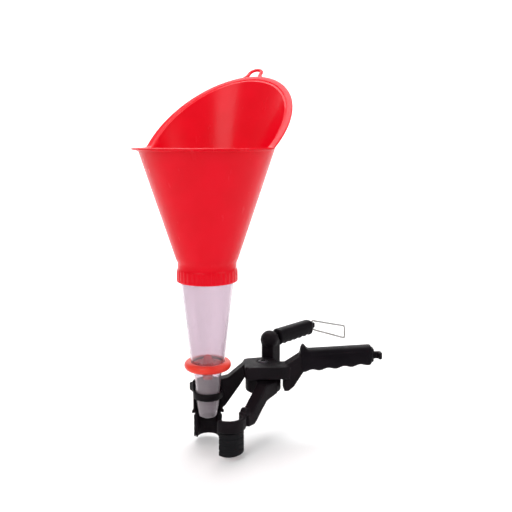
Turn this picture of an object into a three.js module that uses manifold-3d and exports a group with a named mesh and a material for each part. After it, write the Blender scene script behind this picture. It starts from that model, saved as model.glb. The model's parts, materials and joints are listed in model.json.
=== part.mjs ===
// Clamp-held oil funnel: a hooded red funnel head on a clear spout, with a twist valve in the spout,
// standing in spring pliers whose split plug grips an engine's filler neck.
// Millimetres, +Z up. The origin lies on the spout's axis, in the plane of the plug's shoulder.
// X runs from the spout towards the handles, and -Y is the side on which the plug opens.
import * as THREE from 'three';
import { mergeVertices } from 'three/addons/utils/BufferGeometryUtils.js';
import Module from 'manifold-3d';

const wasm = await Module();
wasm.setup();

const degrees = Math.PI / 180;

// Driving dimensions
const fitGap = 0.3; // between pieces that seat on each other
const runningGap = 0.7; // between the two levers, where one swings past the other

const plug = {
  radius: 15.2, // over the rubber pads
  padThickness: 1.8,
  coreWall: 2.0,
  depth: 27, // below the shoulder, into the filler neck
  shoulderWidth: 2.4, // beyond the pads, resting on the neck's rim
  shoulderThickness: 2.4,
  seatStep: 0.6, // height of the shoulder's outer rim, which is what touches the neck
  splitGap: 0.4, // half the gap between the two halves when they are closed
  jawHeight: 12.5, // of the clamp lever's half of the shoulder
  padTopDrop: 1.2, // from the shoulder down to the pads
  padRibCount: 4,
  padRibDepth: 0.5,
};

const nozzle = {
  tipRadius: 9.9,
  tipDrop: 2, // below the shoulder
  waistRadius: 12.4,
  waistZ: 14,
  rootRadius: 13.8,
  rootZ: 36,
  topRadius: 15.3,
  topZ: 46,
  wall: 1.5,
  flangeWidth: 1.5,
  flangeThickness: 1.5,
};

const valve = {
  z: 54, // middle of the ring
  ringRadius: 25.1,
  ringHalfHeight: 4.3,
  plateThickness: 2.6,
  seatThickness: 1.3,
  portCount: 3,
  portRadius: 4.1,
  portCircle: 10.2,
  bossFloor: 2, // below the stem
  bossRadius: 5.4,
  bossLength: 14,
  stemRadius: 1.9,
  domeRadius: 5.6,
  domeHeight: 8.5,
  sealRadius: 0.55,
};

const spout = {
  bottomRadius: 18.2,
  topRadius: 28.2,
  wall: 1.8,
  threadDepth: 1.3,
  threadTurns: 2,
  threadPitch: 4.6,
};

const head = {
  collarBottomZ: 145,
  collarHeight: 13,
  collarWall: 2.0,
  ribCount: 36,
  ribDepth: 0.6,
  neckHeight: 10,
  neckStep: 0.5, // the neck is this much slimmer than the collar
  coneStep: 1.6, // and the cone starts this much wider than the neck
  coneHeight: 118,
  mouthRadius: 72.3,
  wall: 2.2,
  hoodAzimuth: 57.5 * degrees, // direction of the hood's peak, from +X towards +Y
  hoodRise: 38.8 * degrees, // slope of the hood's rim
  lipWidth: 6,
  lipThickness: 2.2,
  loopWidth: 20,
  loopLength: 17,
  loopHoleRadius: 5.7,
  loopThickness: 3,
  gasketThickness: 1.3,
  shoulderDrop: 2, // from the collar's top down to the shoulder inside it
};

const holder = {
  wall: 2.6,
  topZ: 36,
  bandBottomZ: 18,
  bandTopZ: 26,
  earReach: 4,
};

const pivot = {
  x: 60.5,
  y: 8,
  openAngle: 42 * degrees, // from plug closed to plug fully open
  plateBottomZ: 39.5,
  plateThickness: 13.5,
  plateRadius: 15.8,
  hubRadius: 19.5,
  hubHeight: 16,
  boltRadius: 3,
  boltHeadRadius: 6.2,
  boltHeadHeight: 3.4,
  boltHeadSink: 0.8, // how much less than its height the head sinks into the plate
  bushWall: 1.1,
  washerRadius: 6.4,
  washerThickness: 0.7,
  nutRadius: 5.8,
  nutHeight: 5,
  springRadius: 9.4,
  springWire: 0.9,
  springTurns: 3.5,
};

const web = {
  thickness: 14, // of each lever's arm between plug and pivot
  offset: 1, // from the split to the holder's web
};

const frontHandle = {
  startX: 100.5,
  startY: -3,
  length: 77,
  turn: -3.7 * degrees,
  topZ: 69,
  riseToEnd: 4,
  height: 25,
  heightAtEnd: 21,
  width: 17,
  wall: 3.2, // of the rubber sleeve
  neckOverlap: 3, // how far the neck runs into the sleeve's guard
  guardHeight: 5.5,
  guardThickness: 5,
  fingerCount: 4,
  fingerDepth: 1.8,
  hookLength: 11,
  hookHeight: 7.4,
  hookThickness: 5,
  barbLength: 4,
  barbReach: 4.5,
};

const rearHandle = {
  startX: 77.5,
  startY: 36,
  length: 57,
  turn: 38.3 * degrees,
  z: 71,
  riseToEnd: 1.5,
  height: 18,
  width: 15,
  coreSize: 8,
  fingerCount: 6,
  fingerDepth: 1.1,
  riserInner: 16.5,
  riserOuter: 31,
  riserFrom: 3 * degrees, // both angles about the pivot with the plug closed
  riserTo: 46 * degrees,
  knuckleRadius: 10.5,
  knuckleZ: 70.5,
  noseLength: 8,
  noseHeight: 6,
};

const bail = {
  wireRadius: 1.05,
  reach: 50,
  spacing: 10.6, // between the two legs at the hinge, centre to centre
  spread: 2.2, // of each leg, from the hinge to the far end
  drop: 16, // from hinge to far end
  turn: 27 * degrees,
  cornerRadius: 2.6,
};

// Mesh and boolean helpers
function solidOf(geometry) {
  const bare = geometry.clone();
  bare.deleteAttribute('normal');
  bare.deleteAttribute('uv');
  const merged = mergeVertices(bare, 1e-4);
  const triangles = new Uint32Array(merged.index.array);
  const make = () => new wasm.Manifold(new wasm.Mesh({
    numProp: 3,
    vertProperties: merged.attributes.position.array,
    triVerts: triangles,
  }));
  const first = make();
  if (first.volume() > 0) return first;
  for (let i = 0; i < triangles.length; i += 3) {
    [triangles[i + 1], triangles[i + 2]] = [triangles[i + 2], triangles[i + 1]];
  }
  return make();
}

function geometryOf(solid) {
  const mesh = solid.getMesh();
  const geometry = new THREE.BufferGeometry();
  geometry.setAttribute('position', new THREE.BufferAttribute(mesh.vertProperties, 3));
  geometry.setIndex(new THREE.BufferAttribute(mesh.triVerts, 1));
  return geometry;
}

const union = (...solids) => solids.reduce((all, next) => all.add(next));

// A profile of [radius, z] pairs turned about the Z axis. It starts and ends on the axis.
function turned(profile, segments = 32) {
  const points = profile.map(([r, z]) => new THREE.Vector2(r, z));
  return solidOf(new THREE.LatheGeometry(points, segments).rotateX(Math.PI / 2));
}

// The same for a profile that closes on itself away from the axis.
const turnedRing = (profile, segments = 32) => turned([...profile, profile[0]], segments);

const pipe = (inner, outer, bottomZ, topZ, segments = 32) => turnedRing(
  [[inner, bottomZ], [outer, bottomZ], [outer, topZ], [inner, topZ]], segments);

const disc = (radius, bottomZ, topZ, segments = 32) => turned(
  [[0, bottomZ], [radius, bottomZ], [radius, topZ], [0, topZ]], segments);

const circleProfile = (centreR, centreZ, radius, count = 6) => Array.from({ length: count }, (_, i) => {
  const a = (i / count) * 2 * Math.PI;
  return [centreR + radius * Math.cos(a), centreZ + radius * Math.sin(a)];
});

function box(lowX, highX, lowY, highY, lowZ, highZ) {
  const geometry = new THREE.BoxGeometry(highX - lowX, highY - lowY, highZ - lowZ);
  return solidOf(geometry.translate((lowX + highX) / 2, (lowY + highY) / 2, (lowZ + highZ) / 2));
}

const shapeOf = (points) => new THREE.Shape(points.map(([x, y]) => new THREE.Vector2(x, y)));

// An outline in plan, pulled up from bottomZ to topZ.
function planPrism(points, bottomZ, topZ) {
  const settings = { depth: topZ - bottomZ, bevelEnabled: false };
  return solidOf(new THREE.ExtrudeGeometry(shapeOf(points), settings).translate(0, 0, bottomZ));
}

// A side outline of [x, z] pairs, pulled from lowY to highY.
function sidePrism(points, lowY, highY) {
  const settings = { depth: highY - lowY, bevelEnabled: false };
  const geometry = new THREE.ExtrudeGeometry(shapeOf(points), settings);
  return solidOf(geometry.rotateX(Math.PI / 2).translate(0, highY, 0));
}

function moved(solid, x, y, z) {
  return solid.translate([x, y, z]);
}

const spun = (solid, angle) => solid.rotate([0, 0, angle / degrees]);

// Turns a solid about the pivot's axis.
const aboutPivot = (solid, angle) => moved(
  spun(moved(solid, -pivot.x, -pivot.y, 0), angle), pivot.x, pivot.y, 0);

const atPivot = (solid) => moved(solid, pivot.x, pivot.y, 0);

// Derived heights and radii
const padInner = plug.radius - plug.padThickness;
const coreOuter = padInner - fitGap;
const coreInner = coreOuter - plug.coreWall;
const shoulderRadius = plug.radius + plug.shoulderWidth;
const seatInner = plug.radius + fitGap;
const padBottomZ = -plug.depth + 1.5;
const holderInner = nozzle.waistRadius
  + (nozzle.rootRadius - nozzle.waistRadius) * (holder.bandTopZ - nozzle.waistZ)
  / (nozzle.rootZ - nozzle.waistZ) + fitGap;
const holderTopInner = nozzle.rootRadius + 1.5 * fitGap;
const holderOuter = holderInner + holder.wall;
const plateTopZ = pivot.plateBottomZ + pivot.plateThickness;
const hubTopZ = pivot.plateBottomZ - pivot.washerThickness - 2 * fitGap;
const hubBottomZ = hubTopZ - pivot.hubHeight;
const bushOuter = pivot.boltRadius + fitGap + pivot.bushWall;
const boltSeatZ = plateTopZ - pivot.boltHeadHeight + pivot.boltHeadSink;
const springFloorZ = hubBottomZ + 3;
const far = 400; // longer than anything here, for cutting tools

const threadRadius = spout.topRadius + spout.threadDepth;
const collarBore = threadRadius + fitGap;
const collarRadius = collarBore + head.collarWall;
const neckRadius = collarRadius - head.neckStep;
const coneBottomRadius = neckRadius + head.coneStep;
const throatRadius = spout.topRadius - spout.wall - fitGap;
const collarTopZ = head.collarBottomZ + head.collarHeight;
const coneBottomZ = collarTopZ + head.neckHeight;
const mouthZ = coneBottomZ + head.coneHeight;
const coneSlope = (head.mouthRadius - coneBottomRadius) / head.coneHeight;
const coneRadiusAt = (z) => coneBottomRadius + coneSlope * (z - coneBottomZ);
const peakReach = head.mouthRadius / (1 - coneSlope * Math.tan(head.hoodRise));
const peakZ = mouthZ + peakReach * Math.tan(head.hoodRise);
const shoulderZ = collarTopZ - head.shoulderDrop;
const tubeTopZ = shoulderZ - head.gasketThickness - 2 * fitGap;

const plateTop = valve.z + valve.plateThickness / 2;
const plateBottom = valve.z - valve.plateThickness / 2;
const seatTopZ = plateBottom - fitGap;
const seatBottomZ = seatTopZ - valve.seatThickness;
const bossBottomZ = seatTopZ - valve.bossLength;
const nozzleTopZ = seatBottomZ - 2 * valve.sealRadius - fitGap;
const tubeBottomZ = plateTop + 2 * valve.sealRadius + fitGap;
const ringUpperBore = spout.bottomRadius + 1.2 * fitGap;
const flangeRadius = nozzle.topRadius + nozzle.flangeWidth;
const ringLowerBore = flangeRadius + fitGap;

// Funnel head: cone with a raised hood behind, a flat lip round its rim, a hanging loop and a ribbed collar
function hoodSide(points) {
  return spun(sidePrism(points, -far / 2, far / 2), head.hoodAzimuth);
}

function funnelHead() {
  const rise = Math.tan(head.hoodRise);
  const topZ = peakZ + head.loopLength + 10;
  const rimAt = (t) => mouthZ + Math.max(0, t) * rise;
  const below = (drop) => [-far / 2, 0, far / 2].map((t) => [t, rimAt(t) - drop]);
  const keep = hoodSide([[-far / 2, 0], ...below(0), [far / 2, 0]].reverse());
  const lipBand = hoodSide([...below(0), ...below(head.lipThickness).reverse()]);
  const outer = turned([
    [0, collarTopZ - 1], [neckRadius, collarTopZ - 1], [neckRadius, coneBottomZ - 1.5],
    [coneBottomRadius, coneBottomZ], [coneRadiusAt(topZ), topZ], [0, topZ],
  ], 48);
  const lipCone = turned([
    [0, mouthZ - 20], [coneRadiusAt(mouthZ - 20) + head.lipWidth, mouthZ - 20],
    [coneRadiusAt(topZ) + head.lipWidth, topZ], [0, topZ],
  ], 48);
  const inner = turned([
    [0, head.collarBottomZ - 1], [collarBore, head.collarBottomZ - 1], [collarBore, shoulderZ],
    [throatRadius, shoulderZ], [throatRadius, collarTopZ],
    [coneBottomRadius - head.wall, coneBottomZ], [coneRadiusAt(topZ) - head.wall, topZ + 0.1],
    [0, topZ + 0.1],
  ], 48);
  const shell = union(outer.intersect(keep), lipCone.intersect(lipBand), hangingLoop(), ribbedCollar());
  return shell.subtract(inner);
}

function hangingLoop() {
  const start = (peakReach - 1) / Math.cos(head.hoodRise);
  const end = peakReach / Math.cos(head.hoodRise) + head.lipWidth + head.loopLength;
  const half = head.loopWidth / 2;
  const outline = new THREE.Shape();
  outline.moveTo(start, -half * 1.5);
  outline.lineTo(end - head.loopLength, -half * 1.2);
  outline.lineTo(end - half, -half);
  outline.absarc(end - half, 0, half, -Math.PI / 2, Math.PI / 2, false);
  outline.lineTo(end - head.loopLength, half * 1.2);
  outline.lineTo(start, half * 1.5);
  const hole = new THREE.Path();
  hole.absarc(end - half, 0, head.loopHoleRadius, 0, 2 * Math.PI, true);
  outline.holes.push(hole);
  const settings = { depth: head.loopThickness, bevelEnabled: false, curveSegments: 8 };
  const geometry = new THREE.ExtrudeGeometry(outline, settings);
  geometry.translate(0, 0, -head.loopThickness).rotateY(-head.hoodRise).rotateZ(head.hoodAzimuth);
  return solidOf(geometry.translate(0, 0, mouthZ));
}

function ribbedCollar() {
  const outline = [];
  for (let i = 0; i < head.ribCount; i += 1) {
    for (const [share, depth] of [[0.05, 0], [0.4, 0], [0.55, head.ribDepth], [0.9, head.ribDepth]]) {
      const a = ((i + share) / head.ribCount) * 2 * Math.PI;
      const r = collarRadius - head.ribDepth + depth;
      outline.push([r * Math.cos(a), r * Math.sin(a)]);
    }
  }
  return planPrism(outline, head.collarBottomZ, collarTopZ);
}

const headGasket = () => pipe(throatRadius + fitGap, collarBore - fitGap,
  shoulderZ - fitGap - head.gasketThickness, shoulderZ - fitGap, 32);

// Clear spout: a tapered tube whose top carries thread lands and whose end snaps into the valve ring
function spoutTube() {
  const taperTop = head.collarBottomZ - 1;
  const outside = [[spout.bottomRadius, tubeBottomZ], [spout.bottomRadius, valve.z + valve.ringHalfHeight],
    [spout.topRadius, taperTop]];
  for (let i = 0; i < spout.threadTurns; i += 1) {
    const z = taperTop + 3 + i * spout.threadPitch;
    outside.push([spout.topRadius, z], [threadRadius, z + 0.6], [threadRadius, z + 1.2]);
    outside.push([spout.topRadius, z + 1.8]);
  }
  outside.push([spout.topRadius, tubeTopZ]);
  const inside = [[spout.topRadius - spout.wall, tubeTopZ], [spout.topRadius - spout.wall, taperTop],
    [spout.bottomRadius - spout.wall, valve.z + valve.ringHalfHeight],
    [spout.bottomRadius - spout.wall, tubeBottomZ]];
  return turnedRing([...outside, ...inside], 32);
}

// Twist valve: a red ring with a ported plate, on a fixed seat with the same ports
function ports(offset) {
  const one = moved(disc(valve.portRadius, valve.z - 20, valve.z + 20, 14), valve.portCircle, 0, 0);
  const all = Array.from({ length: valve.portCount }, (_, i) => (
    spun(one, offset + (i * 2 * Math.PI) / valve.portCount)));
  return union(...all);
}

function valveRing() {
  const halfWidth = (valve.ringRadius - ringLowerBore + 0.8) / 2;
  const middle = valve.ringRadius - halfWidth;
  const round = Array.from({ length: 7 }, (_, i) => {
    const a = -Math.PI / 2 + (i / 6) * Math.PI;
    return [middle + halfWidth * Math.cos(a), valve.z + valve.ringHalfHeight * Math.sin(a)];
  });
  const ring = turned([[0, plateBottom], [ringLowerBore, plateBottom],
    [ringLowerBore, valve.z - valve.ringHalfHeight * 0.7], ...round,
    [ringUpperBore, valve.z + valve.ringHalfHeight * 0.9], [ringUpperBore, plateTop], [0, plateTop]], 36);
  return ring.subtract(ports(Math.PI / valve.portCount))
    .subtract(disc(valve.stemRadius + fitGap, 0, 100, 20));
}

function valveSeat() {
  const body = turned([[0, bossBottomZ], [valve.bossRadius, bossBottomZ], [valve.bossRadius, seatBottomZ],
    [flangeRadius - fitGap, seatBottomZ], [flangeRadius - fitGap, seatTopZ], [0, seatTopZ]], 32);
  return body.subtract(ports(0))
    .subtract(disc(valve.stemRadius + fitGap, bossBottomZ + valve.bossFloor, 100, 20));
}

function valveStem() {
  const bottom = plateTop + fitGap;
  const dome = Array.from({ length: 6 }, (_, i) => {
    const a = (i / 5) * (Math.PI / 2);
    return [valve.domeRadius * Math.cos(a), bottom + 1 + valve.domeHeight * Math.sin(a)];
  });
  const end = bossBottomZ + valve.bossFloor + fitGap;
  return turned([[0, end], [valve.stemRadius, end], [valve.stemRadius, bottom], [valve.domeRadius, bottom],
    ...dome.slice(0, -1), [0, bottom + 1 + valve.domeHeight]], 24);
}

const tubeSeal = () => turnedRing(circleProfile(spout.bottomRadius - spout.wall / 2,
  plateTop + valve.sealRadius + fitGap / 2, valve.sealRadius), 28);

const seatSeal = () => turnedRing(circleProfile(nozzle.topRadius - nozzle.wall / 2,
  seatBottomZ - valve.sealRadius - fitGap / 2, valve.sealRadius), 28);

function nozzleTube() {
  const { tipRadius, tipDrop, waistRadius, waistZ, rootRadius, rootZ, topRadius, topZ, wall } = nozzle;
  const flangeBottomZ = nozzleTopZ - nozzle.flangeThickness;
  const outside = [[tipRadius - 1, -tipDrop], [tipRadius, -tipDrop + 1.5], [waistRadius, waistZ],
    [rootRadius, rootZ], [topRadius, topZ], [topRadius, flangeBottomZ], [flangeRadius, flangeBottomZ],
    [flangeRadius, nozzleTopZ]];
  const inside = [[topRadius - wall, nozzleTopZ], [topRadius - wall, topZ], [rootRadius - wall, rootZ],
    [waistRadius - wall, waistZ], [tipRadius - wall - 0.6, -tipDrop]];
  return turnedRing([...outside, ...inside], 32);
}

// Half a plug, cut from whole rings: side +1 keeps the half towards +Y, side -1 the other
const halfOf = (solid, side, gap = plug.splitGap) => solid.intersect(
  side > 0 ? box(-far, far, gap, far, -far, far) : box(-far, far, -far, -gap, -far, far));

function ribbedPad() {
  const top = -plug.padTopDrop;
  const pitch = (top - padBottomZ - 1) / plug.padRibCount;
  const grooveRadius = plug.radius - plug.padRibDepth;
  const outside = [[plug.radius - 1, padBottomZ]];
  for (let i = 0; i < plug.padRibCount; i += 1) {
    const low = padBottomZ + 1 + pitch * i;
    outside.push([plug.radius, low], [plug.radius, low + pitch * 0.72]);
    outside.push([grooveRadius, low + pitch * 0.72 + 0.3], [grooveRadius, low + pitch - 0.3]);
  }
  outside.pop();
  outside.push([grooveRadius, top]);
  return turnedRing([...outside, [padInner, top], [padInner, padBottomZ]], 28);
}

// The plug's core and its shoulder, whose collar rises to collarTop outside of the radius collarInner
const plugCore = (collarTop, collarInner) => turnedRing([
  [coreInner, -plug.depth], [coreOuter - 0.6, -plug.depth], [coreOuter, -plug.depth + 1.2],
  [coreOuter, plug.seatStep], [seatInner, plug.seatStep], [seatInner, 0], [shoulderRadius, 0],
  [shoulderRadius, collarTop], [collarInner, collarTop], [collarInner, plug.shoulderThickness],
  [coreInner, plug.shoulderThickness],
], 36);

// Holder lever: plug half, spout holder, web, pivot plate, neck and the core of the front handle
function frontCoreBox(side, fromX, toX) {
  const { topZ, riseToEnd, height, heightAtEnd, length } = frontHandle;
  const topAt = (u) => topZ - side + (riseToEnd * u) / length;
  const bottomAt = (u) => topZ - height + side + ((riseToEnd + height - heightAtEnd) * u) / length;
  return [[fromX, bottomAt(fromX)], [toX, bottomAt(toX)], [toX, topAt(toX)], [fromX, topAt(fromX)]];
}

const alongFront = (solid) => moved(spun(solid, frontHandle.turn), frontHandle.startX, frontHandle.startY, 0);

function holderLever() {
  const { x, y } = pivot;
  const plateArc = Array.from({ length: 9 }, (_, i) => {
    const a = (94 - i * 11.5) * degrees;
    return [x + pivot.plateRadius * Math.cos(a), y + pivot.plateRadius * Math.sin(a)];
  });
  const plate = planPrism([[x - 21, -10], [x - 17, -14], [x + 19, -14.5], [x + 27, -12.5], [x + 27, 5.5],
    ...plateArc.reverse(), [x - 18, y + 13], [x - 21, y + 10]], pivot.plateBottomZ, plateTopZ);
  const stopX = x + pivot.hubRadius + 2 * runningGap;
  const webUnderX = x - pivot.hubRadius - runningGap + 0.2;
  const neckEndX = frontHandle.startX + frontHandle.neckOverlap;
  const plateMiddleZ = (pivot.plateBottomZ + plateTopZ) / 2;
  const neck = sidePrism([[stopX, hubBottomZ + 3], [stopX + 5, hubBottomZ + 3], [stopX + 11, hubBottomZ + 8],
    [neckEndX, frontHandle.topZ - frontHandle.height + frontHandle.wall],
    [neckEndX, frontHandle.topZ - frontHandle.wall], [x + 23, plateTopZ + 0.5], [x + 15, plateTopZ],
    [x + 15, plateMiddleZ], [stopX, plateMiddleZ]],
  frontHandle.startY - frontHandle.width / 2 + 0.5, frontHandle.startY + frontHandle.width / 2);
  const halfCore = frontHandle.width / 2 - frontHandle.wall;
  const coreOutline = frontCoreBox(frontHandle.wall, -2, frontHandle.length + 1.5);
  const core = alongFront(sidePrism(coreOutline, -halfCore, halfCore));
  const webPart = sidePrism([[holderInner, 6], [shoulderRadius + 0.4, 6], [webUnderX - 7, hubTopZ - 10.7],
    [webUnderX + 1.5, pivot.plateBottomZ + 1], [x - 13, pivot.plateBottomZ + 3], [x - 13, plateTopZ - 4],
    [x - 20, plateTopZ], [holderOuter + 6, holder.topZ + 2], [holderInner, holder.topZ]],
  web.offset, web.offset + web.thickness);
  const spoutHolder = halfOf(pipe(holderInner, holderOuter, 0.5, holder.bandTopZ), 1);
  const holderTop = halfOf(turnedRing([[holderInner, holder.bandTopZ - 2], [holderOuter, holder.bandTopZ - 2],
    [holderOuter + 0.8, holder.topZ], [holderTopInner, holder.topZ], [holderTopInner, holder.bandTopZ]]), 1);
  const band = pipe(holderInner, holderOuter, holder.bandBottomZ, holder.bandTopZ);
  const earEnd = -holderOuter - holder.earReach;
  const ear = planPrism([[-holderOuter + 0.6, 0.5], [earEnd, 9], [earEnd + 2, 11.5], [-holderInner + 2, 10]],
    holder.bandTopZ - 3, holder.topZ - 4);
  const bores = union(
    atPivot(disc(pivot.boltRadius + fitGap, 0, 100, 24)),
    atPivot(disc(pivot.boltHeadRadius + fitGap, boltSeatZ, 100, 28)),
    springTangHole(),
  );
  const bore = union(disc(holderInner, -far / 2, holder.bandTopZ), disc(holderTopInner, 20, far / 2));
  const lever = union(plate, neck, core, hookPart(), webPart.subtract(bore));
  const spoutHolderParts = union(spoutHolder, holderTop, band, ear);
  return union(lever, spoutHolderParts).subtract(bores).add(halfOf(plugCore(3, holderInner), 1));
}

function hookPart() {
  const { length, hookLength, hookHeight, hookThickness, barbLength, barbReach } = frontHandle;
  const middle = frontHandle.topZ + frontHandle.riseToEnd - frontHandle.heightAtEnd / 2 - 1.5;
  const low = middle - hookHeight / 2;
  const end = length + hookLength;
  const back = frontHandle.width / 2 - frontHandle.wall;
  const front = back - hookThickness;
  const barbEnd = front - barbReach;
  return alongFront(planPrism([[length - 3, front], [end - barbLength, front], [end - barbLength, barbEnd],
    [end - 1, barbEnd], [end, barbEnd + 1.5], [end, back - 1.5], [end - 1.5, back],
    [length - 3, back]], low, low + hookHeight));
}

function springTangHole() {
  return moved(disc(pivot.springWire + 2 * fitGap, pivot.plateBottomZ - 2, pivot.plateBottomZ + 5, 12),
    pivot.x + pivot.springRadius, pivot.y, 0);
}

// Front grip: a sleeve with a thumb guard at its start and finger hollows below
function gripOutline(handle, startExtra) {
  const { length, height, riseToEnd, fingerCount, fingerDepth } = handle;
  const endHeight = handle.heightAtEnd ?? height;
  const top = handle.topZ ?? handle.z + height / 2;
  const points = [[startExtra, top], [length - 2.5, top + riseToEnd], [length, top + riseToEnd - 2.5]];
  const bottomAt = (u) => top - height + ((riseToEnd + height - endHeight) * u) / length;
  points.push([length, bottomAt(length) + 2.5], [length - 2.5, bottomAt(length)]);
  const steps = fingerCount * 6;
  for (let i = steps - 1; i > 0; i -= 1) {
    const u = ((length - 4) * i) / steps;
    const hollow = fingerDepth * Math.abs(Math.sin((Math.PI * fingerCount * i) / steps));
    points.push([u, bottomAt(u) + hollow]);
  }
  points.push([startExtra, bottomAt(0)]);
  return points.reverse();
}

function frontGrip() {
  const { width, height, topZ, guardHeight, guardThickness, length } = frontHandle;
  const outline = gripOutline(frontHandle, 0);
  const half = width / 2;
  const full = sidePrism(outline, -half + 2.2, half - 2.2);
  const slim = sidePrism(outline, -half, half).intersect(
    sidePrism(frontCoreBox(2.6, -1, length + 1), -half, half));
  const guard = sidePrism([[-1.5, topZ - height + 1], [guardThickness, topZ - height + 1],
    [guardThickness + 2, topZ], [guardThickness - 1, topZ + guardHeight - 1.5], [1.5, topZ + guardHeight],
    [-1.5, topZ - 1]], -half, half);
  const coreSide = frontHandle.wall - fitGap;
  const toolOutline = frontCoreBox(coreSide, -length / 4, length * 1.25);
  const tool = sidePrism(toolOutline, -half + coreSide, half - coreSide);
  const neckRoom = box(-far, frontHandle.neckOverlap + 1.4, -half - 1, half + 1, 0, topZ - coreSide + 0.1);
  return alongFront(union(full, slim, guard).subtract(tool).subtract(neckRoom));
}

// Clamp lever, drawn with the plug closed and then swung open about the pivot
const knuckleAngle = (rearHandle.riserFrom + rearHandle.riserTo) / 2 + pivot.openAngle;
const knuckleReach = (rearHandle.riserInner + rearHandle.riserOuter) / 2;
const knuckleCentre = {
  x: pivot.x + knuckleReach * Math.cos(knuckleAngle),
  y: pivot.y + knuckleReach * Math.sin(knuckleAngle),
};

function clampLever() {
  const { x, y } = pivot;
  const sector = [];
  for (const [r, from, to] of [[rearHandle.riserInner, rearHandle.riserFrom, rearHandle.riserTo],
    [rearHandle.riserOuter, rearHandle.riserTo, rearHandle.riserFrom]]) {
    for (let i = 0; i <= 5; i += 1) {
      const a = from + ((to - from) * i) / 5;
      sector.push([x + r * Math.cos(a), y + r * Math.sin(a)]);
    }
  }
  const riser = planPrism(sector.reverse(), hubBottomZ, rearHandle.knuckleZ);
  const knuckle = moved(solidOf(new THREE.SphereGeometry(rearHandle.knuckleRadius, 16, 10)),
    knuckleCentre.x, knuckleCentre.y, rearHandle.knuckleZ);
  const hub = atPivot(disc(pivot.hubRadius, hubBottomZ, hubTopZ, 36));
  const arm = sidePrism([[holderInner + 0.5, 0], [shoulderRadius + 6.4, 0], [x - 18, hubBottomZ - 3],
    [x - 1, hubBottomZ + 1], [x - 1, hubTopZ - 2], [x - 19, hubTopZ - 2], [shoulderRadius + 6.4, 17],
    [shoulderRadius + 2.4, plug.jawHeight], [holderInner + 0.5, plug.jawHeight]],
  -plug.splitGap - web.thickness, -plug.splitGap);
  const pegLength = 8;
  const peg = moved(solidOf(new THREE.CylinderGeometry(3, 3, pegLength, 16)), shoulderRadius + 1.9,
    -pegLength / 2 + plug.splitGap / 2, plug.jawHeight + 0.5);
  const bore = disc(coreInner + 1.4, 0.5, 60);
  const jaw = halfOf(plugCore(plug.jawHeight, holderInner), -1);
  const pocket = atPivot(pipe(bushOuter + fitGap + 1.8, pivot.springRadius + pivot.springWire + 1.2,
    springFloorZ, hubTopZ + 1, 32));
  const bush = atPivot(disc(bushOuter + fitGap, 0, 100, 24));
  const closed = union(hub, arm.subtract(bore), jaw, riser, peg).subtract(pocket).subtract(bush);
  return union(aboutPivot(closed, pivot.openAngle), knuckle, rearCore()).subtract(bailHole());
}

const alongRear = (solid) => moved(spun(solid, rearHandle.turn), rearHandle.startX, rearHandle.startY, 0);

function rearBar(size, from, to) {
  const { z, riseToEnd, length } = rearHandle;
  const midAt = (u) => z + (riseToEnd * u) / length;
  return sidePrism([[from, midAt(from) - size / 2], [to, midAt(to) - size / 2], [to, midAt(to) + size / 2],
    [from, midAt(from) + size / 2]], -size / 2, size / 2);
}

const hinge = {
  u: rearHandle.length + rearHandle.noseLength - 3.5,
  z: rearHandle.z + rearHandle.riseToEnd + 1.5,
};
hinge.x = rearHandle.startX + hinge.u * Math.cos(rearHandle.turn);
hinge.y = rearHandle.startY + hinge.u * Math.sin(rearHandle.turn);

function rearCore() {
  const { length, noseLength, noseHeight, coreSize } = rearHandle;
  const nose = planPrism([[length + fitGap, -coreSize / 2], [length + noseLength - 3, -coreSize / 2],
    [length + noseLength, -coreSize / 2 + 2.5], [length + noseLength, coreSize / 2 - 2.5],
    [length + noseLength - 3, coreSize / 2], [length + fitGap, coreSize / 2]],
  hinge.z - noseHeight / 2, hinge.z + noseHeight / 2);
  return union(alongRear(rearBar(coreSize, -6, length + 1)), alongRear(nose));
}

const bailHole = () => moved(disc(bail.wireRadius + fitGap, 0, 200, 14), hinge.x, hinge.y, 0);

function rearGrip() {
  const { width, coreSize } = rearHandle;
  const half = width / 2;
  const outline = gripOutline(rearHandle, 1);
  const roomRadius = rearHandle.knuckleRadius + fitGap;
  const knuckleRoom = moved(disc(roomRadius, 0, far, 40), knuckleCentre.x, knuckleCentre.y, 0);
  const full = sidePrism(outline, -half + 2, half - 2);
  const slim = sidePrism(outline, -half, half).intersect(rearBarTrim());
  const tool = rearBar(coreSize + 2 * fitGap, -far, far);
  return alongRear(union(full, slim).subtract(tool)).subtract(knuckleRoom);
}

function rearBarTrim() {
  const { z, height, length, riseToEnd, width } = rearHandle;
  const trim = height / 2 - 2;
  return sidePrism([[-1, z - trim], [length + 1, z + riseToEnd - trim], [length + 1, z + riseToEnd + trim],
    [-1, z + trim]], -width, width);
}

// Pivot hardware
const underHubZ = hubBottomZ - fitGap;

function pivotBolt() {
  const headBottom = boltSeatZ + fitGap;
  const headTop = headBottom + pivot.boltHeadHeight;
  const end = underHubZ - pivot.washerThickness - pivot.nutHeight - fitGap - 1.5;
  return atPivot(turned([[0, end], [pivot.boltRadius - 0.6, end], [pivot.boltRadius, end + 0.8],
    [pivot.boltRadius, headBottom], [pivot.boltHeadRadius, headBottom], [pivot.boltHeadRadius, headTop - 1.4],
    [pivot.boltHeadRadius - 1.8, headTop], [0, headTop]], 28));
}

const pivotBush = () => atPivot(pipe(pivot.boltRadius + fitGap / 2, bushOuter, hubBottomZ, hubTopZ, 24));

const washer = (bottomZ) => atPivot(pipe(pivot.boltRadius + fitGap, pivot.washerRadius, bottomZ,
  bottomZ + pivot.washerThickness, 28));

function pivotNut() {
  const top = underHubZ - pivot.washerThickness - fitGap;
  const body = disc(pivot.nutRadius, top - pivot.nutHeight, top, 6);
  return atPivot(body.subtract(disc(pivot.boltRadius + fitGap / 2, 0, top + 1, 24)));
}

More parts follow.
